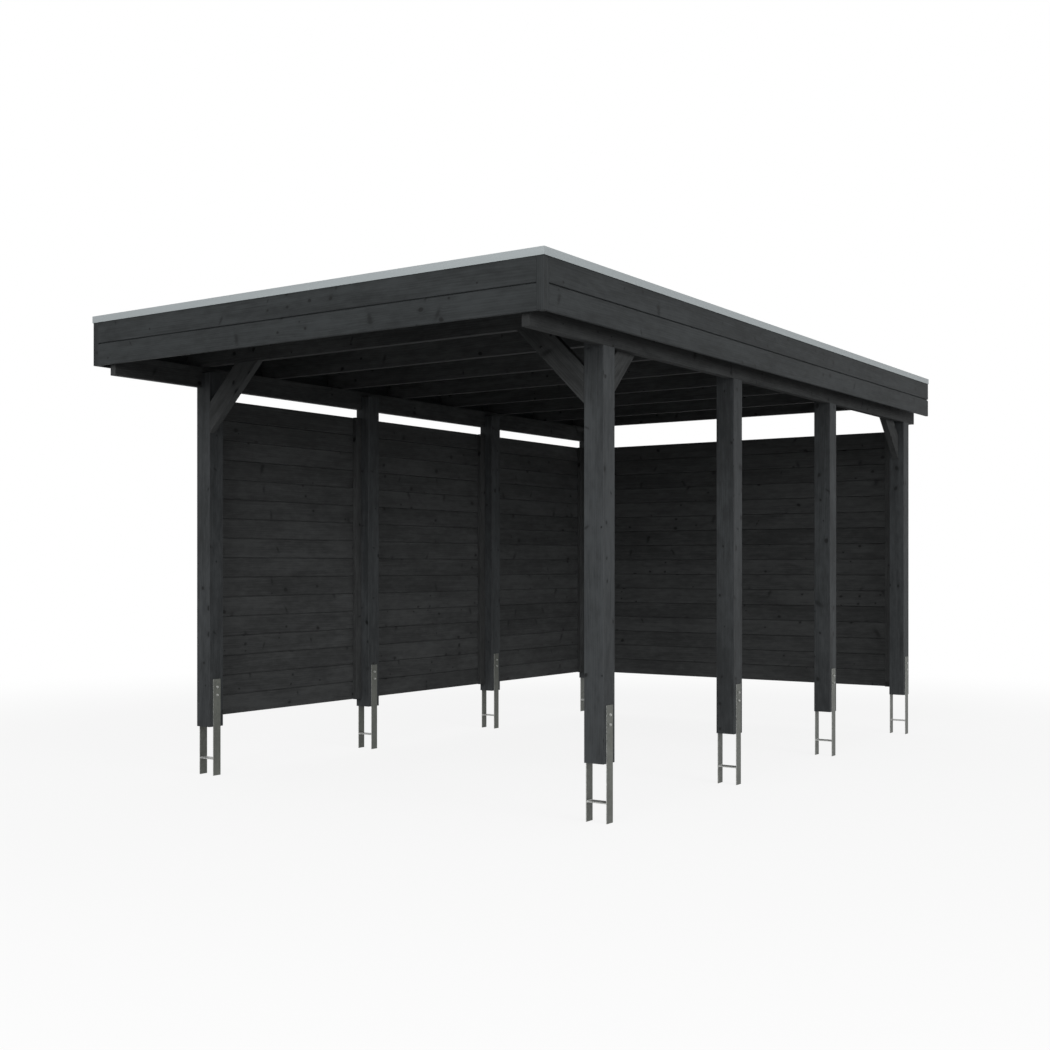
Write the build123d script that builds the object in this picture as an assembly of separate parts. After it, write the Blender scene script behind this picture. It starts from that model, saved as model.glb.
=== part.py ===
from build123d import *
import os

# Single carport with a flat roof, closed on the left side and at the back.
# Millimetres. X runs to the right along the front, Y runs back, Z is up.
# The origin is on the ground under the middle of the roof.
os.makedirs("parts", exist_ok=True)

# Plan
frame_width = 2940
side_overhang = 105
front_overhang = 711
rear_overhang = 146
post_pitch = 1520
post_rows = 4

# Heights
post_foot = 304
post_to_purlin = 2113
tongue_height = 88
fascia_drop = 66
kerb_height = 56

# Posts and their steel anchors
post_size = 115
post_chamfer = 3
anchor_height = 600
strap_inset = 27.5
strap_thickness = 5
bar_height = 100
bar_thickness = 6

# Roof timbers
timber = 44
purlin_depth = 126
purlin_front_setback = 38
rafter_depth = 145
rafter_count = 8
deck_thickness = 19
sheet_thickness = 2

# Braces stand at 45 degrees
brace_board = 133
brace_reach = 413

# Fascia and metal edge
fascia_board = 19
lower_board = 124
shadow_gap = 5
tongue_width = 6
tongue_rise = 6
tongue_play = 1
corner_post = 42
trim_face = 39
trim_lip = 25
trim_gauge = 2
trim_stand_off = 2

# Walls of horizontal boards on upright cleats
wall_board = 19
wall_boards = 16
board_pitch = 125
board_bevel = 4
wall_lift = 53
cleat_width = 58
cleat_thickness = 28
housing_play = 1

# Places worked out from the sizes above
roof_width = frame_width + 2 * side_overhang
frame_length = (post_rows - 1) * post_pitch + post_size
roof_length = front_overhang + frame_length + rear_overhang
front = -roof_length / 2
rear = roof_length / 2
first_post = front + front_overhang
last_post = first_post + (post_rows - 1) * post_pitch
strap_width = post_size - 2 * strap_inset
purlin_bottom = post_foot + post_to_purlin
purlin_top = purlin_bottom + purlin_depth
rafter_top = purlin_top + rafter_depth
deck_top = rafter_top + deck_thickness
sheet_top = deck_top + sheet_thickness
fascia_bottom = purlin_top - fascia_drop
fascia_top = sheet_top + kerb_height
upper_bottom = fascia_bottom + lower_board + shadow_gap
inner_width = roof_width - 2 * fascia_board
inner_length = roof_length - 2 * fascia_board
wall_bottom = post_foot + wall_lift
wall_height = wall_boards * board_pitch
sides = {"left": -1, "right": 1}


def block(x, y, z):
    """A box between two X, two Y and two Z values, each pair given in rising order."""
    size = [high - low for low, high in (x, y, z)]
    corner = Pos(x[0], y[0], z[0])
    return corner * Box(*size, align=(Align.MIN, Align.MIN, Align.MIN))


def span(start, length):
    """The two ends of a run, in rising order, for a length of either sign."""
    return tuple(sorted((start, start + length)))


def row_front(row):
    """Y of the front face of a post row, counted from 0."""
    return first_post + row * post_pitch


def post(side, row):
    """A square post whose head is rebated on its outer side to take the purlin."""
    outer = side * frame_width / 2
    x = span(outer, -side * post_size)
    y = span(row_front(row), post_size)
    body = block(x, y, (post_foot, purlin_bottom + tongue_height))
    body = chamfer(body.edges().filter_by(Axis.Z), post_chamfer)
    rebate = block(span(outer, -side * timber), y, (purlin_bottom, purlin_top))
    return body - rebate


def strap(side, row, face):
    """One flat of an anchor, on the outer (1) or the inner (-1) face of its post."""
    middle_x = side * (frame_width - post_size) / 2
    middle_y = row_front(row) + post_size / 2
    x = span(middle_x + face * side * post_size / 2, face * side * strap_thickness)
    y = (middle_y - strap_width / 2, middle_y + strap_width / 2)
    return block(x, y, (0, anchor_height))


def anchor(side, row):
    """An H of two flats and a crossbar, which holds the post clear of the ground."""
    middle_x = side * (frame_width - post_size) / 2
    middle_y = row_front(row) + post_size / 2
    bar = Pos(middle_x, middle_y, bar_height + bar_thickness / 2)
    bar *= Box(post_size, strap_width, bar_thickness)
    return strap(side, row, 1) + bar + strap(side, row, -1)


def purlin(side):
    y = (front + purlin_front_setback, rear - fascia_board)
    return block(span(side * frame_width / 2, -side * timber), y, (purlin_bottom, purlin_top))


def crosswise(y, width, bottom=purlin_top):
    """A rafter or a rim joist, with its top under the deck."""
    return block((-width / 2, width / 2), span(y, timber), (bottom, rafter_top))


def brace_outline():
    """A 45 degree brace, from a post face at 0 up to the underside of the rafters."""
    flank = brace_board * 2**0.5
    foot = purlin_top - brace_reach
    points = [(0, foot), (0, foot + flank), (brace_reach - flank, purlin_top), (brace_reach, purlin_top)]
    return make_face(Polyline(points, close=True))


def front_brace(side):
    """In line with the front faces of the posts, under the first rafter."""
    face = side * (frame_width / 2 - post_size)
    plane = Plane((face, first_post, 0), x_dir=(-side, 0, 0), z_dir=(0, side, 0))
    brace = extrude(plane * brace_outline(), timber * side)
    return brace


def side_brace(row, direction):
    """Behind the right purlin, rising from a post towards the rear (1) or the front (-1)."""
    face = row_front(row) + (post_size if direction > 0 else 0)
    inside = frame_width / 2 - timber
    plane = Plane((inside, face, 0), x_dir=(0, direction, 0), z_dir=(direction, 0, 0))
    return extrude(plane * brace_outline(), -timber * direction)


def boarded_wall(length):
    """Stacked boards as one panel along X, with a bevelled joint between each two."""
    profile = Rectangle(wall_board, wall_height)
    notch = Rot(0, 0, 45) * Rectangle(board_bevel * 2**0.5, board_bevel * 2**0.5)
    for joint in range(1, wall_boards):
        height = joint * board_pitch - wall_height / 2
        for face in (-1, 1):
            profile -= Pos(face * wall_board / 2, height) * notch
    panel = extrude(Plane.YZ * profile, length / 2, both=True)
    return Pos(0, 0, wall_bottom + wall_height / 2) * panel


def left_wall(bay):
    start = row_front(bay) + post_size
    length = post_pitch - post_size
    x = (wall_board - frame_width) / 2
    return Pos(x, start + length / 2, 0) * Rot(0, 0, 90) * boarded_wall(length)


def back_wall():
    y = last_post + post_size - wall_board / 2
    return Pos(0, y, 0) * boarded_wall(frame_width - 2 * post_size)


def left_cleats():
    """Two upright cleats behind each left wall panel, one against each post."""
    x = span(wall_board - frame_width / 2, cleat_thickness)
    z = (wall_bottom, wall_bottom + wall_height)
    cleats = []
    for bay in range(post_rows - 1):
        cleats.append(block(x, span(row_front(bay) + post_size, cleat_width), z))
        cleats.append(block(x, span(row_front(bay + 1), -cleat_width), z))
    return Compound(children=cleats)


def back_cleats():
    """One cleat on each rear post, housed over the flat of the anchor."""
    y = span(last_post + post_size - wall_board, -cleat_thickness)
    z = (wall_bottom, wall_bottom + wall_height)
    cleats = []
    for side in sides.values():
        face = side * (frame_width / 2 - post_size)
        cleat = block(span(face, -side * cleat_width), y, z)
        housing = block(
            span(face, -side * (strap_thickness + housing_play)),
            (y[0], last_post + (post_size + strap_width) / 2 + housing_play),
            (0, anchor_height + housing_play),
        )
        cleats.append(cleat - housing)
    return Compound(children=cleats)


def board_along(profile, start, end):
    """A board with the given section, run along X from start to end."""
    return extrude(Plane.YZ.offset(start) * profile, end - start)


def lower_fascia(start, end):
    """The lower fascia board, with its outer face on Y = 0 and a tongue on its upper edge."""
    middle = fascia_board / 2
    tongue = Rectangle(tongue_width, shadow_gap + tongue_rise)
    tongue_middle = upper_bottom + (tongue_rise - shadow_gap) / 2
    profile = Pos(middle, fascia_bottom + lower_board / 2) * Rectangle(fascia_board, lower_board)
    profile += Pos(middle, tongue_middle) * tongue
    return board_along(profile, start, end)


def upper_fascia(start, end):
    """The upper fascia board, with its outer face on Y = 0 and a slot in its lower edge."""
    height = fascia_top - upper_bottom
    slot_depth = tongue_rise + tongue_play
    slot = Rectangle(tongue_width + 2 * tongue_play, slot_depth)
    profile = Pos(fascia_board / 2, upper_bottom + height / 2) * Rectangle(fascia_board, height)
    profile -= Pos(fascia_board / 2, upper_bottom + slot_depth / 2) * slot
    return board_along(profile, start, end)


def fascia(start, end):
    """Both boards over each other, with the shadow gap between them."""
    return Compound(children=[lower_fascia(start, end), upper_fascia(start, end)])


def fascia_corners():
    """The two front corner posts, cut back at the head for the metal edge."""
    lip_bottom = fascia_top + trim_gauge - trim_lip
    post_y = (front, front + corner_post)
    head_y = (front + fascia_board, front + corner_post)
    corners = []
    for side in sides.values():
        outer = side * roof_width / 2
        body = block(span(outer, -side * corner_post), post_y, (fascia_bottom, fascia_top))
        head_x = span(outer - side * fascia_board, side * (fascia_board - corner_post))
        corners.append(body - block(head_x, head_y, (lip_bottom, fascia_top)))
    return Compound(children=corners)


def trim(length):
    """Metal edge over the fascia, bent down outside and inside, mitred at both ends."""
    outer = -(trim_stand_off + trim_gauge)
    inner = fascia_board + trim_gauge
    top = fascia_top + trim_gauge
    profile = make_face(
        Polyline(
            (outer, top),
            (inner, top),
            (inner, top - trim_lip),
            (fascia_board, top - trim_lip),
            (fascia_board, fascia_top),
            (-trim_stand_off, fascia_top),
            (-trim_stand_off, top - trim_face),
            (outer, top - trim_face),
            close=True,
        )
    )
    bar = extrude(Plane.YZ * profile, length / 2 - outer, both=True)
    long_half = length / 2 - outer
    short_half = length / 2 - inner
    plan = Polyline(
        (-long_half, outer), (long_half, outer), (short_half, inner), (-short_half, inner), close=True
    )
    return bar & extrude(make_face(plan), top)


def roof_plate(bottom, thickness):
    """A flat layer inside the fascia, cut back at the two corner posts."""
    plate = Rectangle(inner_width, inner_length)
    notch = corner_post - fascia_board
    for side in sides.values():
        corner = Pos(side * (inner_width - notch) / 2, (notch - inner_length) / 2)
        plate -= corner * Rectangle(notch, notch)
    return Pos(0, 0, bottom) * extrude(plate, thickness)


nodes = {}
for side_name, side in sides.items():
    nodes[f"purlin_{side_name}"] = purlin(side)
    nodes[f"brace_front_{side_name}"] = front_brace(side)
    for row in range(post_rows):
        nodes[f"post_{side_name}_{row + 1}"] = post(side, row)
        nodes[f"anchor_{side_name}_{row + 1}"] = anchor(side, row)
nodes["brace_side_front"] = side_brace(0, 1)
nodes["brace_side_rear"] = side_brace(post_rows - 1, -1)

# The first rafter is flush with the front posts and the last is centred on the rear ones
last_rafter = last_post + (post_size - timber) / 2
rafter_pitch = (last_rafter - first_post) / (rafter_count - 1)
for number in range(rafter_count):
    nodes[f"rafter_{number + 1}"] = crosswise(first_post + number * rafter_pitch, inner_width)

# At the rear the roof is closed by a low rim and the upper fascia board alone
nodes["rim_front"] = crosswise(front + fascia_board, roof_width - 2 * corner_post)
nodes["rim_rear"] = crosswise(rear - fascia_board - timber, inner_width, upper_bottom)
nodes["roof_deck"] = roof_plate(rafter_top, deck_thickness)
nodes["roof_sheet"] = roof_plate(deck_top, sheet_thickness)

# Each edge of the roof is made along X with its face on Y = 0, then turned to look out
outward = {
    "front": Pos(0, front, 0),
    "right": Pos(roof_width / 2, 0, 0) * Rot(0, 0, 90),
    "rear": Pos(0, rear, 0) * Rot(0, 0, 180),
    "left": Pos(-roof_width / 2, 0, 0) * Rot(0, 0, -90),
}
front_half = roof_width / 2 - corner_post
nodes["fascia_front"] = outward["front"] * fascia(-front_half, front_half)
nodes["fascia_right"] = outward["right"] * fascia(front + corner_post, rear)
nodes["fascia_left"] = outward["left"] * fascia(-rear, -front - corner_post)
nodes["fascia_rear"] = outward["rear"] * upper_fascia(-inner_width / 2, inner_width / 2)
for place, length in zip(outward, (roof_width, roof_length, roof_width, roof_length)):
    nodes[f"trim_{place}"] = outward[place] * trim(length)
nodes["fascia_corners"] = fascia_corners()

for bay in range(post_rows - 1):
    nodes[f"wall_left_{bay + 1}"] = left_wall(bay)
nodes["wall_back"] = back_wall()
nodes["cleats_left"] = left_cleats()
nodes["cleats_back"] = back_cleats()

for name, shape in nodes.items():
    export_step(shape, f"parts/{name}.step")
print(len(nodes), "nodes")
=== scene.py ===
import math

import bmesh
import bpy
import numpy as np
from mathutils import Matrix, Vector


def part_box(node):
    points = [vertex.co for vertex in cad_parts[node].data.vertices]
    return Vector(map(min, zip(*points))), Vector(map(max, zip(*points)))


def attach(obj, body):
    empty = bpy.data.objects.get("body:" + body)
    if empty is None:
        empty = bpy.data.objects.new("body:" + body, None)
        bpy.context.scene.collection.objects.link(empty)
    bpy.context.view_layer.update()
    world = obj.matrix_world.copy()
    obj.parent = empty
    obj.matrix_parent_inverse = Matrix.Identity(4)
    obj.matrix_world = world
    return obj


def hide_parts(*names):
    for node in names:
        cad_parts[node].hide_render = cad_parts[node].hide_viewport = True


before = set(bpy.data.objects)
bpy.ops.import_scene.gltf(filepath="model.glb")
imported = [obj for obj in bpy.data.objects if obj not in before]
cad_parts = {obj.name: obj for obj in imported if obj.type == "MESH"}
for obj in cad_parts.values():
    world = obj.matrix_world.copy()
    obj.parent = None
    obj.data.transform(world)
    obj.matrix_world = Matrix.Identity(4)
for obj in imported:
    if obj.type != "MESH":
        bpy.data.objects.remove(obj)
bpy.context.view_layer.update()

print("frame loaded,", len(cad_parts), "nodes")

# Where the photographer stood, in metres, and how the frame was cut
picture = {
    "place": (5.022, -8.078, 1.3057),
    "turn": 34.87,
    "lens": 47.5,
    "filmWidth": 36.0,
    "shiftRight": 0.0255,
    "shiftUp": 0.0387,
    "sight": 200.0,
}


def makeCamera():
    lens = bpy.data.cameras.new("pictureLens")
    lens.lens = picture["lens"]
    lens.sensor_width = picture["filmWidth"]
    lens.shift_x = picture["shiftRight"]
    lens.shift_y = picture["shiftUp"]
    lens.clip_end = picture["sight"]
    eye = bpy.data.objects.new("pictureCamera", lens)
    eye.location = picture["place"]
    eye.rotation_euler = (math.radians(90), 0, math.radians(picture["turn"]))
    bpy.context.collection.objects.link(eye)
    bpy.context.scene.camera = eye


# One output of a shader node. Sums written with it become Math nodes.
class Wire:
    def __init__(self, paint, node, output=0):
        self.paint = paint
        self.node = node
        self.socket = node.outputs[output] if len(node.outputs) else None

    def of(self, output):
        return Wire(self.paint, self.node, output)

    def maths(self, operation, first, second=0.0):
        return self.paint.add("Math", {"operation": operation}, {0: first, 1: second})

    def __add__(self, other):
        return self.maths("ADD", self, other)

    def __radd__(self, other):
        return self.maths("ADD", other, self)

    def __sub__(self, other):
        return self.maths("SUBTRACT", self, other)

    def __rsub__(self, other):
        return self.maths("SUBTRACT", other, self)

    def __mul__(self, other):
        return self.maths("MULTIPLY", self, other)

    def __rmul__(self, other):
        return self.maths("MULTIPLY", other, self)

    def __truediv__(self, other):
        return self.maths("DIVIDE", self, other)

    def __pow__(self, other):
        return self.maths("POWER", self, other)


class Paint:
    def __init__(self, name, tree=None):
        if tree is None:
            self.material = bpy.data.materials.new(name)
            self.material.use_nodes = True
            tree = self.material.node_tree
        self.tree = tree
        self.tree.nodes.clear()

    # Any node: its type, then its settings, then what its sockets hold
    def add(self, kind, settings=None, values=None, output=0):
        node = self.tree.nodes.new("ShaderNode" + kind)
        for key, value in (settings or {}).items():
            setattr(node, key, value)
        for key, value in (values or {}).items():
            if isinstance(value, Wire):
                self.tree.links.new(value.socket, node.inputs[key])
            else:
                node.inputs[key].default_value = value
        return Wire(self, node, output)

    # A soft step between two levels while the value goes from low to high
    def step(self, value, low, high, fromLow=0.0, toHigh=1.0):
        limits = {
            "Value": value, "From Min": low, "From Max": high, "To Min": fromLow, "To Max": toHigh,
        }
        return self.add("MapRange", {"interpolation_type": "SMOOTHSTEP"}, limits)

    def spot(self, x, y, z=0.0):
        return self.add("CombineXYZ", None, {0: x, 1: y, 2: z})

    # Sine of the angle, brought to 0..1
    def wave(self, angle):
        return self.add("Math", {"operation": "SINE"}, {0: angle}) * 0.5 + 0.5

    def noise(self, vector, scale, detail, roughness, distortion=0.0):
        values = {
            "Vector": vector, "Scale": scale, "Detail": detail, "Roughness": roughness,
            "Distortion": distortion,
        }
        return self.add("TexNoise", {"noise_dimensions": "3D"}, values)

    def blend(self, factor, first, second):
        settings = {"data_type": "RGBA", "blend_type": "MIX", "clamp_factor": True}
        return self.add("Mix", settings, {0: factor, 6: first, 7: second}, 2)

    def bump(self, height, strength, distance):
        values = {"Height": height, "Strength": strength, "Distance": distance}
        return self.add("Bump", None, values)

    # 1 on rays that show the backdrop: straight from the camera, or by way of metal or glass
    def seen(self):
        rays = self.add("LightPath")
        straight = rays.maths("MAXIMUM", rays.of("Is Camera Ray"), rays.of("Is Glossy Ray"))
        return rays.maths("MAXIMUM", straight, rays.of("Is Transmission Ray"))

    def surface(self, **sockets):
        values = {key.replace("_", " "): value for key, value in sockets.items()}
        shader = self.add("BsdfPrincipled", None, values)
        self.add("OutputMaterial", None, {"Surface": shader})
        return self.material


def tinted(level, tint):
    return (level * tint[0], level * tint[1], level * tint[2], 1.0)


# Glazed spruce: how light it is, how much its grain shows, its hue, what share of the cells of
# the two knot fields has a knot, how much one board differs from the next, and its gloss
woodLooks = {
    "post_wood": {"level": 0.040, "contrast": 0.40, "tint": (0.93, 1.01, 1.06),
                  "pins": 0.17, "spikes": 0.50, "boardTone": 0.08, "gloss": 0.16},
    "frame_wood": {"level": 0.046, "contrast": 0.38, "tint": (0.97, 1.01, 1.02),
                   "pins": 0.14, "spikes": 0.45, "boardTone": 0.12, "gloss": 0.06},
    # The right purlin's wood is frame_wood made darker and nothing else: painted shade, for the
    # shadow of the fascia overhang on its outer face
    "purlin_wood_painted_shade": {"level": 0.034, "contrast": 0.38, "tint": (0.97, 1.01, 1.02),
                    "pins": 0.14, "spikes": 0.45, "boardTone": 0.12, "gloss": 0.06},
    "fascia_wood": {"level": 0.0283, "contrast": 0.36, "tint": (0.92, 1.02, 1.06),
                    "pins": 0.16, "spikes": 0.45, "boardTone": 0.08, "gloss": 0.16},
    "wall_wood": {"level": 0.0408, "contrast": 0.38, "tint": (0.97, 1.01, 1.02),
                  "pins": 0.14, "spikes": 0.50, "boardTone": 0.11, "gloss": 0.16},
    "deck_wood": {"level": 0.050, "contrast": 0.40, "tint": (0.99, 1.01, 1.0),
                  "pins": 0.14, "spikes": 0.45, "boardTone": 0.16, "gloss": 0.08},
}
# Layers of the grain on a board's own map, u along the grain and v across it: how many cells
# there are to a metre each way, and how far the seed sets two boards apart
grainLayers = {
    "mottle": {"cells": (11.0, 34.0), "apart": 11.0, "roughness": 0.6},
    "group": {"cells": (2.6, 1.5), "apart": 13.0, "detail": 1.0},
    "drift": {"cells": (0.7, 6.0), "apart": 9.0},
    "fibre": {"cells": (3.0, 150.0), "apart": 5.0, "detail": 4.0, "roughness": 0.6},
    "streak": {"cells": (1.1, 30.0), "apart": 3.0, "roughness": 0.55, "distortion": 0.5},
    "cloud": {"cells": (2.0, 8.0), "apart": 7.0},
}
# How much each layer adds to the tone, what is taken off to bring it to the middle, and between
# which values it goes from dark to light
grainMix = {"fibre": 0.22, "streak": 0.26, "ring": 0.07, "cloud": 0.52, "mottle": 0.46,
            "middle": 0.26, "dark": 0.26, "light": 0.74}
# Year rings in metres: their spacing on a face and how many rings they wander, then on a sawn
# end their spacing, where the pith is and how the tones mix
yearRings = {"spacing": 0.012, "wander": 9.0, "endSpacing": 0.0035, "pith": (0.013, -0.03),
             "endRing": 0.3, "endCloud": 0.5, "endLeast": 0.2}
# Small round knots and slanted ones: cells to a metre, half their size in metres along and
# across, their lean, the distances at which the stain round them and the knot itself fade
# (1 is the knot's edge), how dark both are, and how much the grain bends round them
knots = {
    "pin": {"cells": (6.5, 15.0), "reach": (0.0130, 0.0105), "lean": 0.6, "stain": (0.8, 2.4),
            "spot": (0.55, 1.15), "stainDepth": 0.18, "spotDepth": 0.95, "bend": 0.6},
    "spike": {"cells": (2.3, 7.5), "reach": (0.0135, 0.028), "lean": 1.2, "stain": (0.6, 2.2),
              "spot": (0.2, 1.25), "stainDepth": 0.20, "spotDepth": 0.62, "bend": 0.35},
}
# What both kinds share: how freely they lie, their least size and the spread above it, how rare
# the large ones are, how ragged their edge is, how light the knot is against its board, how
# cells without a knot are put out of reach, and how far the slanted ones' field is shifted
knotShape = {"scatter": 0.85, "least": 0.4, "spread": 1.1, "rarity": 1.7, "ragged": 0.9,
             "shade": 0.20, "cut": 0.01, "away": 30.0, "spikeShift": (0.37, 0.061)}
# Groups of small knots: where their noise begins and ends to make one, and how many of the
# knots there are outside a group and how many more inside it
knotGroups = {"step": (0.46, 0.62), "alone": 0.3, "inGroup": 2.2}
# Here and in the looks below, rough and bump say how much each layer adds to or takes from the
# roughness and the height, and relief is the height in metres
woodFinish = {
    "rough": {"base": 0.74, "fibre": 0.12, "knot": 0.08},
    "bump": {"fibre": 0.5, "ring": 0.15, "streak": 0.25, "knot": 0.5, "strength": 0.5,
             "relief": 0.00045},
}


def grainLayer(paint, name, along, across, seed):
    layer = grainLayers[name]
    u, v = layer["cells"]
    place = paint.spot(along * u, across * v, seed * layer["apart"])
    detail, roughness = layer.get("detail", 3.0), layer.get("roughness", 0.5)
    return paint.noise(place, 1.0, detail, roughness, layer.get("distortion", 0.0))


# Knots, one to a Voronoi cell: an ellipse about the cell's point that leans and grows by the
# cell's own colour. The result is the distance from its middle, which is 1 at its edge and large
# in cells without a knot, and how far across the grain its middle is.
def knotField(paint, along, across, kind, share, rough):
    knot = knots[kind]
    u, v = knot["cells"]
    cell = paint.add(
        "TexVoronoi",
        {"voronoi_dimensions": "2D", "feature": "F1"},
        {"Vector": paint.spot(along * u, across * v), "Scale": 1.0,
         "Randomness": knotShape["scatter"]},
        "Position",
    )
    middle = paint.add("SeparateXYZ", None, {0: cell})
    chance = paint.add("SeparateColor", None, {0: cell.of("Color")})
    offAcross = across - middle.of(1) / v
    offAlong = along - middle / u + offAcross * (chance.of(2) - 0.5) * knot["lean"]
    size = knotShape["least"] + knotShape["spread"] * chance.of(1) ** knotShape["rarity"]
    reach = knot["reach"]
    distance = ((offAlong / reach[0]) ** 2 + (offAcross / reach[1]) ** 2) ** 0.5 / size
    missing = paint.step(chance - share, 0.0, knotShape["cut"], 0.0, knotShape["away"])
    return distance + (rough - 0.5) * knotShape["ragged"] + missing, offAcross


def woodPaint(name):
    look, pins, spikes = woodLooks[name], knots["pin"], knots["spike"]
    paint = Paint(name)
    place = paint.add("UVMap", {"uv_map": "board"})
    along = paint.add("SeparateXYZ", None, {0: place})
    across = along.of(1)
    seed = paint.add("Attribute", {"attribute_name": "seed"}, None, "Fac")
    endCut = paint.add("Attribute", {"attribute_name": "endCut"}, None, "Fac")
    onFace = 1 - endCut

    # Small knots sit in groups, where the tree had a ring of branches
    mottle = grainLayer(paint, "mottle", along, across, seed)
    group = paint.step(grainLayer(paint, "group", along, across, seed), *knotGroups["step"])
    share = (group * knotGroups["inGroup"] + knotGroups["alone"]) * look["pins"]
    pin, pinOff = knotField(paint, along, across, "pin", share, mottle)
    u, v = knotShape["spikeShift"]
    spike, spikeOff = knotField(paint, along + u, across + v, "spike", look["spikes"], mottle)
    pinStain = 1 - paint.step(pin, *pins["stain"])
    spikeStain = 1 - paint.step(spike, *spikes["stain"])

    # The grain runs round a knot: its lines are drawn towards the middle, so they bow out there
    swerve = across - pinOff * pinStain * pins["bend"] - spikeOff * spikeStain * spikes["bend"]
    drift = grainLayer(paint, "drift", along, swerve, seed)
    ring = swerve / yearRings["spacing"] + drift * yearRings["wander"]
    ringLine = paint.wave(ring * (2 * math.pi))
    fibre = grainLayer(paint, "fibre", along, swerve, seed)
    streak = grainLayer(paint, "streak", along, swerve, seed)
    cloud = grainLayer(paint, "cloud", along, across, seed)
    grain = fibre * grainMix["fibre"] + streak * grainMix["streak"] + ringLine * grainMix["ring"]
    grain = grain + cloud * grainMix["cloud"] + mottle * grainMix["mottle"] - grainMix["middle"]
    grain = grain + (seed - 0.5) * look["boardTone"]
    dark = tinted(look["level"] * (1 - look["contrast"]), look["tint"])
    light = tinted(look["level"] * (1 + look["contrast"]), look["tint"])
    colour = paint.blend(paint.step(grain, grainMix["dark"], grainMix["light"]), dark, light)

    # Sawn ends: rings round a pith off to one side
    u, v = yearRings["pith"]
    ringReach = ((along - u) ** 2 + (across - v) ** 2) ** 0.5
    endRing = paint.wave(ringReach * (2 * math.pi / yearRings["endSpacing"]))
    endMix = endRing * yearRings["endRing"] + yearRings["endCloud"] * cloud + yearRings["endLeast"]
    colour = paint.blend(endCut, colour, paint.blend(endMix, dark, light))

    knotDark = tinted(look["level"] * knotShape["shade"], look["tint"])
    stain = pinStain * pins["stainDepth"] + spikeStain * spikes["stainDepth"]
    colour = paint.blend(stain * onFace, colour, knotDark)
    pinSpot = 1 - paint.step(pin, *pins["spot"])
    spikeSpot = 1 - paint.step(spike, *spikes["spot"])
    colour = paint.blend(spikeSpot * onFace * spikes["spotDepth"], colour, knotDark)
    colour = paint.blend(pinSpot * onFace * pins["spotDepth"], colour, knotDark)

    rough, bump = woodFinish["rough"], woodFinish["bump"]
    height = fibre * bump["fibre"] + ringLine * bump["ring"] + streak * bump["streak"]
    height = height - pinSpot * bump["knot"] * onFace
    return paint.surface(
        Base_Color=colour,
        Roughness=rough["base"] - fibre * rough["fibre"] - pinSpot * rough["knot"],
        Specular_IOR_Level=look["gloss"],
        Normal=paint.bump(height, bump["strength"], bump["relief"]),
    )


# Hot-dip zinc on the anchors, dull and a little cloudy, with lines drawn out along Z. A layer,
# here and below, is its scale, detail and roughness, and its distortion where it has one. Mix
# says how much each layer adds to the tone, and step between which values it goes from dark to
# light.
steelLook = {
    "dark": (0.078, 0.083, 0.073, 1), "light": (0.126, 0.133, 0.118, 1), "metal": 0.4,
    "flakeScale": 70.0, "cloud": (7.0, 3.0, 0.55), "drawn": (1.0, 3.0, 0.6),
    "drawnOut": (60, 60, 3),
    "mix": {"flake": 0.14, "cloud": 0.62, "drawn": 0.30, "step": (0.28, 0.80)},
    "rough": {"base": 0.40, "cloud": 0.14, "flake": 0.05},
    "bump": {"cloud": 0.6, "flake": 0.2, "strength": 0.3, "relief": 0.0006},
}


def steelPaint():
    look = steelLook
    mix, rough, bump = look["mix"], look["rough"], look["bump"]
    paint = Paint("anchor_steel")
    place = paint.add("TexCoord", None, None, "Object")
    cells = {"Vector": place, "Scale": look["flakeScale"]}
    colours = paint.add("TexVoronoi", {"voronoi_dimensions": "3D"}, cells, "Color")
    flake = paint.add("SeparateColor", None, {0: colours})
    cloud = paint.noise(place, *look["cloud"])
    drawnPlace = paint.add("Mapping", None, {"Vector": place, "Scale": look["drawnOut"]})
    drawn = paint.noise(drawnPlace, *look["drawn"])
    tone = flake * mix["flake"] + cloud * mix["cloud"] + drawn * mix["drawn"]
    height = cloud * bump["cloud"] + flake * bump["flake"]
    return paint.surface(
        Base_Color=paint.blend(paint.step(tone, *mix["step"]), look["dark"], look["light"]),
        Metallic=look["metal"],
        Roughness=rough["base"] + cloud * rough["cloud"] - flake * rough["flake"],
        Normal=paint.bump(height, bump["strength"], bump["relief"]),
    )


# Bright zinc of bolts, nuts, washers, screws and brushed welds; on the anchors' crossbars the same
# bright colour is painted light, for the sky light on the bar's top
zincLook = {
    "dark": (0.26, 0.265, 0.255, 1), "light": (0.55, 0.56, 0.54, 1), "metal": 0.5,
    "cloud": (170.0, 3.0, 0.6), "step": (0.3, 0.7),
    "rough": {"base": 0.34, "cloud": 0.2}, "bump": {"strength": 0.3, "relief": 0.0003},
}


def zincPaint():
    look = zincLook
    rough, bump = look["rough"], look["bump"]
    paint = Paint("bolt_zinc_and_bar_light")
    place = paint.add("TexCoord", None, None, "Object")
    cloud = paint.noise(place, *look["cloud"])
    return paint.surface(
        Base_Color=paint.blend(paint.step(cloud, *look["step"]), look["dark"], look["light"]),
        Metallic=look["metal"],
        Roughness=rough["base"] + cloud * rough["cloud"],
        Normal=paint.bump(cloud, bump["strength"], bump["relief"]),
    )


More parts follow.
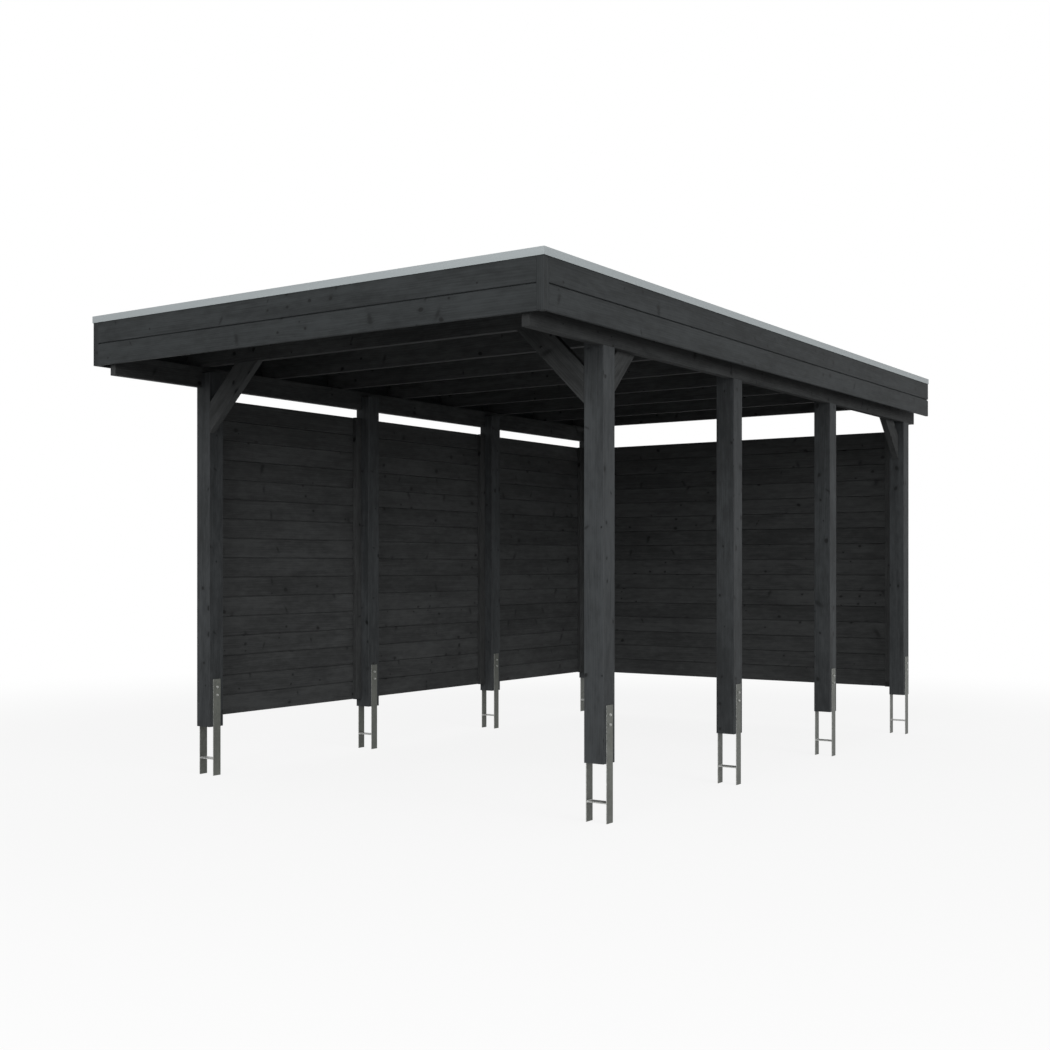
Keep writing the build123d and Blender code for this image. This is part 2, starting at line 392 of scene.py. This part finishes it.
# Satin metal edge along the roof: lines drawn along it, wide clouds and a few fine specks. Its
# layers are the cells to a metre along and across it, then detail and roughness.
edgeLook = {
    "dark": (0.300, 0.330, 0.340, 1), "light": (0.390, 0.425, 0.436, 1), "metal": 0.25,
    "drawn": ((5.0, 420.0), 3.0, 0.6), "cloud": ((0.9, 14.0), 4.0, 0.55),
    "speck": ((60.0, 60.0), 2.0, 0.5), "speckStep": (0.68, 0.76),
    "mix": {"drawn": 0.45, "cloud": 0.7, "middle": 0.1, "speck": 0.35},
    "rough": {"base": 0.44, "cloud": 0.18},
    "bump": {"drawn": 0.4, "cloud": 0.6, "strength": 0.22, "relief": 0.0005},
}


def edgePaint():
    look = edgeLook
    mix, rough, bump = look["mix"], look["rough"], look["bump"]
    paint = Paint("edge_metal")
    along = paint.add("SeparateXYZ", None, {0: paint.add("UVMap", {"uv_map": "board"})})

    def layer(cells, detail, roughness):
        place = paint.spot(along * cells[0], along.of(1) * cells[1])
        return paint.noise(place, 1.0, detail, roughness)

    drawn, cloud = layer(*look["drawn"]), layer(*look["cloud"])
    speck = paint.step(layer(*look["speck"]), *look["speckStep"])
    tone = drawn * mix["drawn"] + cloud * mix["cloud"] - mix["middle"]
    colour = paint.blend(tone, look["dark"], look["light"])
    height = drawn * bump["drawn"] + cloud * bump["cloud"]
    return paint.surface(
        Base_Color=paint.blend(speck * mix["speck"], colour, look["dark"]),
        Metallic=look["metal"],
        Roughness=rough["base"] + cloud * rough["cloud"],
        Normal=paint.bump(height, bump["strength"], bump["relief"]),
    )


# Rubber roofing. The deck's joints, counted to a metre, show through it, and dust gathers in the
# low places, thick or thin by the grit.
sheetLook = {
    "rubber": (0.021, 0.022, 0.024, 1), "dust": (0.120, 0.117, 0.108, 1), "gloss": 0.3,
    "cloud": (0.9, 5.0, 0.62), "grit": (240.0, 3.0, 0.7), "stain": (3.4, 6.0, 0.7, 0.8),
    "joints": 9.0, "jointSharpness": 26.0,
    "low": {"cloud": 0.6, "stain": 0.45, "joint": 0.06, "step": (0.42, 0.78)},
    "thick": {"base": 0.35, "grit": 0.4},
    "rough": {"base": 0.55, "dust": 0.5},
    "bump": {"grit": 0.25, "stain": 0.4, "joint": 0.9, "strength": 0.5, "relief": 0.0010},
}


def sheetPaint():
    look = sheetLook
    low, thick, rough, bump = (look[name] for name in ("low", "thick", "rough", "bump"))
    paint = Paint("roof_sheet")
    place = paint.add("TexCoord", None, None, "Object")
    cloud, grit, stain = (paint.noise(place, *look[name]) for name in ("cloud", "grit", "stain"))
    sideways = paint.add("SeparateXYZ", None, {0: place})
    joint = paint.wave(sideways * (2 * math.pi * look["joints"])) ** look["jointSharpness"]
    hollow = cloud * low["cloud"] + stain * low["stain"] + joint * low["joint"]
    dust = paint.step(hollow, *low["step"]) * (thick["base"] + grit * thick["grit"])
    height = grit * bump["grit"] + stain * bump["stain"] - joint * bump["joint"]
    return paint.surface(
        Base_Color=paint.blend(dust, look["rubber"], look["dust"]),
        Roughness=rough["base"] + dust * rough["dust"],
        Specular_IOR_Level=look["gloss"],
        Normal=paint.bump(height, bump["strength"], bump["relief"]),
    )


paints = {name: woodPaint(name) for name in woodLooks}
paints["anchor_steel"] = steelPaint()
paints["bolt_zinc_and_bar_light"] = zincPaint()
paints["edge_metal"] = edgePaint()
paints["roof_sheet"] = sheetPaint()
print("paints mixed")


def asPiece(name, mesh, paint, stands=()):
    mesh.materials.clear()
    mesh.materials.append(paints[paint])
    piece = bpy.data.objects.new(name, mesh)
    bpy.context.collection.objects.link(piece)
    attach(piece, "root")
    if stands:
        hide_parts(*stands)
    return piece


def faceValue(mesh, name, values):
    layer = mesh.attributes.new(name, "FLOAT", "FACE")
    layer.data.foreach_set("value", np.asarray(values, dtype=np.float32))


# Closed shells gathered into one mesh, with a board map, a seed and an end flag for each face
class Shells:
    def __init__(self):
        self.points, self.faces, self.maps, self.seeds, self.ends = [], [], [], [], []
        self.count = 0

    def take(self, points, faces, maps=None, seed=0.5, ends=None):
        corners = sum(len(face) for face in faces)
        self.points.append(points)
        self.faces.extend([tuple(int(k) + self.count for k in face) for face in faces])
        self.maps.append(np.zeros((corners, 2)) if maps is None else maps)
        self.seeds.extend([seed] * len(faces))
        self.ends.extend([0.0] * len(faces) if ends is None else ends)
        self.count += len(points)

    def mesh(self, name):
        mesh = bpy.data.meshes.new(name)
        mesh.from_pydata(np.concatenate(self.points).tolist(), [], self.faces)
        layer = mesh.uv_layers.new(name="board")
        layer.data.foreach_set("uv", np.concatenate(self.maps).astype(np.float32).ravel())
        faceValue(mesh, "seed", self.seeds)
        faceValue(mesh, "endCut", self.ends)
        mesh.update()
        return mesh


# Faces of a closed tube of rings: a quad for each step along and round, and a cap at either end
def tubeFaces(rings, count):
    level, turn = np.meshgrid(np.arange(rings - 1), np.arange(count), indexing="ij")
    here, following = level * count + turn, level * count + (turn + 1) % count
    quads = np.stack([here, following, following + count, here + count], axis=-1)
    caps = [tuple(np.arange(count)[::-1]), tuple(np.arange(count) + (rings - 1) * count)]
    return level, turn, [tuple(quad) for quad in quads.reshape(-1, 4)] + caps


# An outline with every corner eased: each becomes a parabola between two points on its sides,
# (1-t)^2 start + 2t(1-t) corner + t^2 end. The two points never take up a whole side.
def eased(corners, radius, steps=3, mostOfSide=0.45):
    corners = np.asarray(corners, dtype=float)
    before = np.roll(corners, 1, axis=0) - corners
    after = np.roll(corners, -1, axis=0) - corners
    lengthBefore = np.linalg.norm(before, axis=1, keepdims=True)
    lengthAfter = np.linalg.norm(after, axis=1, keepdims=True)
    reach = np.minimum(radius, mostOfSide * np.minimum(lengthBefore, lengthAfter))
    start = (corners + before / lengthBefore * reach)[:, None]
    end = (corners + after / lengthAfter * reach)[:, None]
    t = np.linspace(0, 1, steps)[None, :, None]
    curve = (1 - t) ** 2 * start + 2 * t * (1 - t) * corners[:, None] + t**2 * end
    return curve.reshape(-1, 2)


# How far the seed sets two boards apart on the grain's map, along and across
boardShift = np.array([17.3, 5.9])


# A plank is its outline carried along a straight line: point = origin + along s + across y + up z.
# At both ends the outline draws in by the easing, so the sawn edges are broken.
def plank(shells, outline, origin, along, across, up, length, seed, easing=0.0008):
    along, across, up = (np.asarray(v, dtype=float) for v in (along, across, up))
    ring = np.asarray(outline, dtype=float)
    chord = np.roll(ring, -1, axis=0) - np.roll(ring, 1, axis=0)
    inward = np.stack([-chord[:, 1], chord[:, 0]], axis=1)
    inward /= np.linalg.norm(inward, axis=1, keepdims=True)
    drawnIn = ring + inward * easing
    stations = np.array([0.0, easing, length - easing, length])
    rings = np.stack([drawnIn, ring, ring, drawnIn])
    points = (
        np.asarray(origin, dtype=float)
        + stations[:, None, None] * along
        + rings[:, :, :1] * across
        + rings[:, :, 1:] * up
    ).reshape(-1, 3)
    level, turn, faces = tubeFaces(len(stations), len(ring))
    edge = np.linalg.norm(np.roll(ring, -1, axis=0) - ring, axis=1)
    girth = np.concatenate([[0.0], np.cumsum(edge)])
    here, further = stations[level], stations[level + 1]
    u = np.stack([here, here, further, further], axis=-1)
    v = np.stack([girth[turn], girth[turn + 1], girth[turn + 1], girth[turn]], axis=-1)
    sideMap = np.stack([u, v], axis=-1).reshape(-1, 2) + seed * boardShift
    capMap = np.concatenate([drawnIn[::-1], drawnIn]) - ring.mean(axis=0)
    ends = [0.0] * (len(faces) - 2) + [1.0, 1.0]
    shells.take(points, faces, np.concatenate([sideMap, capMap]), seed, ends)


# A turned shape: point = centre + axis h + (first cos a + second sin a) r. Each station is
# radius, height and a mark. Where it is marked, the shape is hexagonal there: r is the corner
# radius times cos 30 / cos(a folded into -30..30 degrees).
def turned(shells, stations, centre, axis, sides):
    stations = np.asarray(stations, dtype=float)
    axis = np.asarray(axis, dtype=float)
    first = np.cross(axis, [0.0, 0.0, 1.0])
    second = np.cross(axis, first)
    angle = np.arange(sides) * 2 * np.pi / sides
    folded = np.mod(angle, np.pi / 3) - np.pi / 6
    flat = np.cos(np.pi / 6) / np.cos(folded)
    radius = stations[:, :1] * np.where(stations[:, 2:] > 0, flat, 1.0)
    circle = np.cos(angle)[:, None] * first + np.sin(angle)[:, None] * second
    middles = np.asarray(centre, dtype=float) + stations[:, 1, None, None] * axis
    points = middles + radius[..., None] * circle
    shells.take(points.reshape(-1, 3), tubeFaces(len(stations), sides)[2])


# Cleaning a CAD timber: points closer than merge are one, in metres. Faces within the angle flat
# are one, and edges over the angle sharp are broken, in radians, in so many steps and so round.
# A face is an end where its normal leans more than end along the grain. No timber runs anyWay.
timberClean = {"merge": 0.00002, "flat": 0.02, "sharp": 0.5, "steps": 2, "round": 0.5,
               "end": 0.6, "anyWay": (0.31, 0.52, 0.79)}


# What each corner, face or point of a mesh holds, read into an array
def readOut(items, name, kind, width=1):
    values = np.empty(len(items) * width, dtype=kind)
    items.foreach_get(name, values)
    return values.reshape(-1, width) if width > 1 else values


# A planed timber from its CAD node: merged, cleaned to flat faces, edges broken, and mapped
# with u = point . grain and v = point . (normal x grain)
def planed(node, grain, easing, paint, slotName, seed):
    build = bmesh.new()
    build.from_mesh(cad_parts[node].data)
    bmesh.ops.remove_doubles(build, verts=build.verts, dist=timberClean["merge"])
    bmesh.ops.dissolve_limit(
        build, angle_limit=timberClean["flat"], verts=build.verts, edges=build.edges
    )
    if easing:
        sharp = [
            edge for edge in build.edges
            if edge.is_manifold and edge.calc_face_angle() > timberClean["sharp"]
        ]
        bmesh.ops.bevel(
            build, geom=sharp, offset=easing, segments=timberClean["steps"],
            profile=timberClean["round"], affect="EDGES", clamp_overlap=True,
        )
    mesh = bpy.data.meshes.new(node + "_planed")
    build.to_mesh(mesh)
    build.free()
    for name in [layer.name for layer in mesh.uv_layers]:
        mesh.uv_layers.remove(mesh.uv_layers[name])
    normals = readOut(mesh.polygons, "normal", float, 3)
    sides = readOut(mesh.polygons, "loop_total", int)
    corner = readOut(mesh.loops, "vertex_index", int)
    points = readOut(mesh.vertices, "co", float, 3)[corner]
    grain = np.asarray(grain, dtype=float)
    grain /= np.linalg.norm(grain)
    isEnd = np.abs(normals @ grain) > timberClean["end"]
    sideways = np.cross(np.repeat(normals, sides, axis=0), grain)
    sideways /= np.maximum(np.linalg.norm(sideways, axis=1, keepdims=True), 1e-6)
    first = np.cross(grain, timberClean["anyWay"])
    first /= np.linalg.norm(first)
    second = np.cross(grain, first)
    fromMiddle = points - points.mean(axis=0)
    cornerEnd = np.repeat(isEnd, sides)
    shift = seed * boardShift
    u = np.where(cornerEnd, fromMiddle @ first, points @ grain + shift[0])
    v = np.where(cornerEnd, fromMiddle @ second, (points * sideways).sum(axis=1) + shift[1])
    layer = mesh.uv_layers.new(name="board")
    layer.data.foreach_set("uv", np.stack([u, v], axis=1).astype(np.float32).ravel())
    faceValue(mesh, "seed", np.full(len(mesh.polygons), seed))
    faceValue(mesh, "endCut", isEnd.astype(float))
    mesh.update()
    return asPiece(node + "_piece", mesh, paint, (node,))


x, y, z = (1, 0, 0), (0, 1, 0), (0, 0, 1)
minusX, minusY = (-1, 0, 0), (0, -1, 0)
draw = np.random.default_rng(11)

# How far the edges of each timber are broken
timberEdge = {"post": 0.0, "timber": 0.002, "brace": 0.0015, "cleat": 0.0015, "corner": 0.002}


# A timber of the given kind and wood. The slot name it takes is not used.
def timber(node, grain, kind, wood, slotName=None):
    planed(node, grain, timberEdge[kind], wood, slotName or wood, draw.random())


def makeTimbers():
    # The right purlin takes the darker copy of the frame wood, as painted shade; the left one keeps
    # the frame wood
    for side, purlinWood in (("left", "frame_wood"), ("right", "purlin_wood_painted_shade")):
        for row in range(1, 5):
            timber(f"post_{side}_{row}", z, "post", "post_wood")
        timber(f"purlin_{side}", y, "timber", purlinWood, "frame_wood")
    for number in range(1, 9):
        timber(f"rafter_{number}", x, "timber", "frame_wood")
    for end in ("front", "rear"):
        timber(f"rim_{end}", x, "timber", "frame_wood")
    slopes = {
        "brace_front_left": (1, 0, 1),
        "brace_front_right": (-1, 0, 1),
        "brace_side_front": (0, 1, 1),
        "brace_side_rear": (0, -1, 1),
    }
    for name, grain in slopes.items():
        timber(name, grain, "brace", "frame_wood")
    for name in ("cleats_left", "cleats_back"):
        timber(name, z, "cleat", "wall_wood")
    timber("fascia_corners", z, "corner", "fascia_wood")


# Walls: tongued boards laid over each other with a small V between each two, screwed to the
# cleats from outside
wall = {"boards": 16, "gap": 0.0016, "bevel": 0.004, "tongue": 0.0055, "rise": 0.007,
        "play": 0.001, "easing": 0.0006, "endPlay": 0.001, "unevenness": 0.0003,
        "screwFromEnd": 0.029, "screwSpread": 0.032, "screwSides": 8}
screwHead = [(0.0042, -0.001, 0), (0.0042, 0.0002, 0), (0.0034, 0.0006, 0), (0.0014, 0.0004, 0)]


# A tongued board's section: x through its thickness, y over its height, groove below, tongue above
def boardOutline(thickness, height, shape, hasGroove, hasTongue):
    half, low, high = thickness / 2, shape["gap"] / 2, height - shape["gap"] / 2
    bevel, rise = shape["bevel"], shape["rise"]
    stick, groove = shape["tongue"] / 2, (shape["tongue"] + shape["play"]) / 2
    corners = [(-half + bevel, low)]
    if hasGroove:
        roof = low + rise + shape["play"]
        corners += [(-groove, low), (-groove, roof), (groove, roof), (groove, low)]
    corners += [(half - bevel, low), (half, low + bevel), (half, high - bevel)]
    corners += [(half - bevel, high)]
    if hasTongue:
        corners += [(stick, high), (stick, high + rise), (-stick, high + rise), (-stick, high)]
    return corners + [(-half + bevel, high), (-half, high - bevel), (-half, low + bevel)]


# along is the way the boards run and across the way the outer face looks
def makeWall(node, along, across, screws):
    low, high = (np.array(v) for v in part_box(node))
    along, across = np.asarray(along, dtype=float), np.asarray(across, dtype=float)
    run, through = np.abs(along), np.abs(across)
    pitch = (high[2] - low[2]) / wall["boards"]
    length = float((high - low) @ run)
    thickness = float((high - low) @ through) - 2 * wall["unevenness"]
    start = (low if along.sum() > 0 else high) * run + (low + high) / 2 * through
    lengthInside = length - 2 * wall["endPlay"]
    shells = Shells()
    for board in range(wall["boards"]):
        corners = boardOutline(thickness, pitch, wall, board > 0, board < wall["boards"] - 1)
        origin = start + along * wall["endPlay"] + across * draw.uniform(-1, 1) * wall["unevenness"]
        origin[2] = low[2] + board * pitch
        outline = eased(corners, wall["easing"])
        plank(shells, outline, origin, along, across, z, lengthInside, draw.random())
        for fromStart in (wall["screwFromEnd"], lengthInside - wall["screwFromEnd"]):
            for lift in (-1, 1):
                centre = origin + along * fromStart + across * thickness / 2
                centre[2] += pitch / 2 + lift * wall["screwSpread"]
                turned(screws, screwHead, centre, across, wall["screwSides"])
    name = node + "_boards"
    asPiece(name, shells.mesh(name), "wall_wood", (node,))


def makeWalls():
    screws = Shells()
    for bay in range(1, 4):
        makeWall(f"wall_left_{bay}", y, minusX, screws)
    makeWall("wall_back", x, y, screws)
    asPiece("wall_screws", screws.mesh("wall_screws"), "bolt_zinc_and_bar_light")


# Fascia: two wide boards with a shadow gap, the lower one tongued into the upper. The rear has
# the upper board alone.
fascia = {"lower": 0.123, "gap": 0.007, "edge": 0.003, "edgeSteps": 4, "tongue": 0.006,
          "tongueBack": 0.0025, "rise": 0.006, "play": 0.001}


# along is the way the boards run and across the way the outer face looks
def makeFascia(node, along, across, hasLower):
    low, high = (np.array(v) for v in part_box(node))
    run, through = np.abs(along), np.abs(across)
    thickness, length = float((high - low) @ through), float((high - low) @ run)
    half, height = thickness / 2, float(high[2] - low[2])
    lower = fascia["lower"] if hasLower else -fascia["gap"]
    start = lower + fascia["gap"]
    inner, outer = (side * fascia["tongue"] / 2 - fascia["tongueBack"] for side in (-1, 1))
    slotInner, slotOuter = inner - fascia["play"], outer + fascia["play"]
    tip, roof = start + fascia["rise"], start + fascia["rise"] + fascia["play"]
    upperBoard = [(-half, start), (slotInner, start), (slotInner, roof), (slotOuter, roof),
                  (slotOuter, start), (half, start), (half, height), (-half, height)]
    lowerBoard = [(-half, 0), (half, 0), (half, lower), (outer, lower), (outer, tip),
                  (inner, tip), (inner, lower), (-half, lower)]
    origin = (low if sum(along) > 0 else high) * run + (low + high) / 2 * through
    origin[2] = low[2]
    shells = Shells()
    for corners in [lowerBoard, upperBoard] if hasLower else [upperBoard]:
        outline = eased(corners, fascia["edge"], fascia["edgeSteps"])
        plank(shells, outline, origin, along, across, z, length, draw.random())
    name = node + "_boards"
    asPiece(name, shells.mesh(name), "fascia_wood", (node,))


# Roof deck: tongued boards from front to rear with the V below. The outer two stop short of the
# fascia's corner posts.
deck = {"boards": 28, "gap": 0.001, "bevel": 0.0035, "tongue": 0.005, "rise": 0.006,
        "play": 0.001, "easing": 0.0006, "notch": 0.023}


def makeDeck():
    low, high = (np.array(v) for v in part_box("roof_deck"))
    pitch = (high[0] - low[0]) / deck["boards"]
    thickness, fullLength = float(high[2] - low[2]), float(high[1] - low[1])
    shells = Shells()
    for board in range(deck["boards"]):
        isFirst, isLast = board == 0, board == deck["boards"] - 1
        corners = boardOutline(thickness, pitch, deck, not isFirst, not isLast)
        lying = [(height, -depth) for depth, height in corners]  # width along X, thickness upright
        origin = (low[0] + board * pitch, high[1], (low[2] + high[2]) / 2)
        length = fullLength - (deck["notch"] if isFirst or isLast else 0.0)
        outline = eased(lying, deck["easing"])
        plank(shells, outline, origin, minusY, x, z, length, draw.random())
    name = "roof_deck_boards"
    asPiece(name, shells.mesh(name), "deck_wood", ("roof_deck",))


makeTimbers()
makeWalls()
makeFascia("fascia_front", minusX, minusY, True)
makeFascia("fascia_right", minusY, x, True)
makeFascia("fascia_rear", x, y, False)
makeFascia("fascia_left", y, minusX, True)
makeDeck()
print("timber cut and fixed")

# Anchors: bolts through both flats and the post, and welds where the bar meets the flats. Bolt
# heads and nuts with their washers are stations of radius, height and the mark of a hexagon.
anchor = {
    "edge": 0.0007,
    "flat": 0.005,
    "boltHeights": (0.500, 0.550),
    "boltSides": 24,
    "boltHead": [(0.0080, -0.001, 0), (0.0080, 0.0016, 0), (0.0072, 0.0016, 1),
                 (0.0072, 0.0064, 1), (0.0062, 0.0072, 0), (0.0024, 0.0074, 0)],
    "boltNut": [(0.0080, -0.001, 0), (0.0080, 0.0016, 0), (0.0072, 0.0016, 1),
                (0.0072, 0.0082, 1), (0.0040, 0.0084, 0), (0.0040, 0.0118, 0),
                (0.0032, 0.0126, 0)],
    "weldHeights": (0.100, 0.106),
    "weldReach": 0.0045,
    "weldRipple": 0.12,
    "weldStep": 0.0042,
    "weldTip": 0.0005,
    "weldRings": 30,
    "weldSides": 8,
}


# A weld bead along Y: point = middle + y s + (x sin a + z cos a) r, where the radius r ripples as
# 1 + ripple sin(2 pi s / step) and closes to a point at both ends as (1 - |2s/length - 1|^6)^0.5
def weld(shells, middle, length):
    sides = anchor["weldSides"]
    s = np.linspace(anchor["weldTip"], length - anchor["weldTip"], anchor["weldRings"])
    ripple = 1 + anchor["weldRipple"] * np.sin(2 * np.pi * s / anchor["weldStep"])
    radius = anchor["weldReach"] * ripple * np.sqrt(1 - np.abs(2 * s / length - 1) ** 6)
    angle = np.arange(sides) * 2 * np.pi / sides
    ring = np.stack([np.sin(angle), np.zeros(sides), np.cos(angle)], axis=-1)
    points = np.asarray(middle) + radius[:, None, None] * ring
    points[..., 1] += (s - length / 2)[:, None]
    shells.take(points.reshape(-1, 3), tubeFaces(len(s), sides)[2])


# The crossbar takes the bright zinc as painted light, for the sky light on its top: its faces are
# the ones whose middle lies between the two flats
def barPaintedLight(mesh, left, right):
    mesh.materials.append(paints["bolt_zinc_and_bar_light"])
    middles = readOut(mesh.polygons, "center", float, 3)[:, 0]
    isBar = np.abs(middles - (left + right) / 2) < (right - left) / 2 - anchor["edge"]
    mesh.polygons.foreach_set("material_index", isBar.astype(np.int32))


def makeAnchors():
    bolts, welds = Shells(), Shells()
    steel = ("anchor_steel", "anchor_steel")
    for side in ("left", "right"):
        for row in range(1, 5):
            node = f"anchor_{side}_{row}"
            piece = planed(node, z, anchor["edge"], *steel, draw.random())
            low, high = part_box(node)
            # Painted light on the crossbar: the bright zinc in place of the sky light on its top
            barPaintedLight(piece.data, low[0] + anchor["flat"], high[0] - anchor["flat"])
            middle = (low[1] + high[1]) / 2
            for end, outward in ((low[0], -1), (high[0], 1)):
                isOuter = (outward > 0) == (side == "right")
                shape = anchor["boltHead"] if isOuter else anchor["boltNut"]
                for height in anchor["boltHeights"]:
                    centre = (end, middle, height)
                    turned(bolts, shape, centre, (outward, 0, 0), anchor["boltSides"])
                inside = end - outward * anchor["flat"]
                for height in anchor["weldHeights"]:
                    weld(welds, (inside, middle, height), high[1] - low[1])
    asPiece("anchor_bolts", bolts.mesh("anchor_bolts"), "bolt_zinc_and_bar_light")
    asPiece("anchor_welds", welds.mesh("anchor_welds"), "bolt_zinc_and_bar_light")


# Edge metal, bent from sheet
edgeMetal = {"edge": 0.0006}


def makeEdges():
    for place, grain in {"front": x, "rear": x, "left": y, "right": y}.items():
        node = f"trim_{place}"
        planed(node, grain, edgeMetal["edge"], "edge_metal", "edge_metal", draw.random())


# Roof sheet: its edge stands up against the fascia and the corner posts, its middle lies on the
# deck. The rows of points are closest where it bends, at the distances in near.
sheet = {"inset": 0.0024, "top": 2.7435, "lip": 0.001, "bend": 0.012, "cornerPost": 0.023,
         "ripple": 0.0007, "gauge": 0.0012, "margin": 0.08, "middleRows": 60,
         "near": (0, 0.001, 0.0022, 0.0036, 0.0054, 0.0076, 0.0100, 0.0130)}


# Height over the plan x, y: deck + ripple (sin(2.3 x + 1.7 sin 1.1 y) + sin(1.9 y - 2.1 x + 0.8)
# + 1) t + rise (1 - t)^3, where t grows from 0 to 1 with the distance from the nearest edge of
# the sheet or corner post
def makeSheet():
    low, high = (np.array(v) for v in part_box("roof_sheet"))
    half = (high - low)[:2] / 2 - sheet["inset"]
    near = np.array(sheet["near"])
    post = sheet["cornerPost"] - sheet["inset"]
    fromEdge = np.concatenate([near, [post - sheet["lip"], post], post + near[1:]])
    axes = []
    for reach in half:
        inside = reach - sheet["margin"]
        middle = np.linspace(-inside, inside, sheet["middleRows"])
        axes.append(np.unique(np.concatenate([-reach + fromEdge, middle, reach - fromEdge])))
    across, back = np.meshgrid(axes[0], axes[1], indexing="xy")
    toEdge = np.minimum(half[0] - np.abs(across), half[1] - np.abs(back))
    aside = np.maximum(half[0] - post - np.abs(across), 0)
    behind = np.maximum(back + half[1] - post, 0)
    distance = np.minimum(toEdge, np.hypot(aside, behind))
    t = np.clip((distance - sheet["lip"]) / sheet["bend"], 0, 1)
    ripple = np.sin(2.3 * across + 1.7 * np.sin(1.1 * back))
    ripple = ripple + np.sin(1.9 * back - 2.1 * across + 0.8)
    ground = high[2] + sheet["ripple"] * (ripple + 1) * t
    level = ground + (sheet["top"] - high[2]) * (1 - t) ** 3
    points = np.stack([across, back, level], axis=-1).reshape(-1, 3)
    columns, rows = len(axes[0]), len(axes[1])
    row, column = np.meshgrid(np.arange(rows - 1), np.arange(columns - 1), indexing="ij")
    first = (row * columns + column).ravel()
    faces = np.stack([first, first + 1, first + columns + 1, first + columns], axis=-1)
    mesh = bpy.data.meshes.new("roof_sheet_laid")
    mesh.from_pydata(points.tolist(), [], faces.tolist())
    mesh.polygons.foreach_set("use_smooth", np.ones(len(faces), dtype=bool))
    mesh.update()
    piece = asPiece("roof_sheet_laid", mesh, "roof_sheet", ("roof_sheet",))
    gauge = piece.modifiers.new("gauge", "SOLIDIFY")
    gauge.thickness = sheet["gauge"]
    gauge.offset = -1


makeAnchors()
makeEdges()
makeSheet()
print("metal and roofing on")

# Floor, lamps and world. The floor fades to the white of the backdrop with the distance.
studio = {
    "worldLight": 0.40,
    "worldSeen": 1.0,
    "floorHalf": 60.0,
    "floorBounce": 0.46,
    "floorPale": 0.9,
    "nearWhite": 0.86,
    "whiteFrom": 4.0,
    "whiteTo": 9.0,
    "aim": (0, 0, 1.2),
    "lamps": {
        "rightBox": {"place": (18.0, -4.0, 6.0), "power": 1200.0, "size": 10.0},
        "frontBox": {"place": (3.5, -18.0, 7.0), "power": 1500.0, "size": 10.0},
    },
}


def floorPaint():
    paint = Paint("studio_floor")
    seen = paint.seen()
    place = paint.add("TexCoord", None, None, "Object")
    distance = paint.add("VectorMath", {"operation": "LENGTH"}, {0: place}, "Value")
    far = paint.step(distance, studio["whiteFrom"], studio["whiteTo"], studio["nearWhite"], 1.0)
    pale = seen * (studio["floorPale"] - studio["floorBounce"]) + studio["floorBounce"]
    matt = paint.add("BsdfDiffuse", None, {"Color": paint.spot(pale, pale, pale)})
    backdrop = {"Color": (1, 1, 1, 1), "Strength": studio["worldSeen"]}
    white = paint.add("Emission", None, backdrop)
    both = paint.add("MixShader", None, {0: seen * far, 1: matt, 2: white})
    paint.add("OutputMaterial", None, {"Surface": both})
    return paint.material


def makeFloor():
    half = studio["floorHalf"]
    mesh = bpy.data.meshes.new("floor")
    corners = [(-half, -half, 0), (half, -half, 0), (half, half, 0), (-half, half, 0)]
    mesh.from_pydata(corners, [], [(0, 1, 2, 3)])
    mesh.materials.append(floorPaint())
    floor = bpy.data.objects.new("floor", mesh)
    bpy.context.collection.objects.link(floor)


def makeLight():
    world = bpy.data.worlds.new("softbox")
    bpy.context.scene.world = world
    world.use_nodes = True
    sky = Paint("softbox", world.node_tree)
    level = sky.seen() * (studio["worldSeen"] - studio["worldLight"]) + studio["worldLight"]
    glow = sky.add("Background", None, {"Color": (1, 1, 1, 1), "Strength": level})
    sky.add("OutputWorld", None, {"Surface": glow})
    for name, box in studio["lamps"].items():
        lamp = bpy.data.lights.new(name, "AREA")
        lamp.shape = "DISK"
        lamp.size = box["size"]
        lamp.energy = box["power"]
        softbox = bpy.data.objects.new(name, lamp)
        softbox.location = box["place"]
        aim = np.array(studio["aim"]) - np.array(box["place"])
        tilt = math.atan2(math.hypot(aim[0], aim[1]), -aim[2])
        softbox.rotation_euler = (tilt, 0, math.atan2(aim[1], aim[0]) - math.pi / 2)
        bpy.context.collection.objects.link(softbox)
    bpy.context.scene.view_settings.view_transform = "Standard"


makeCamera()
makeFloor()
makeLight()
print("studio lit")
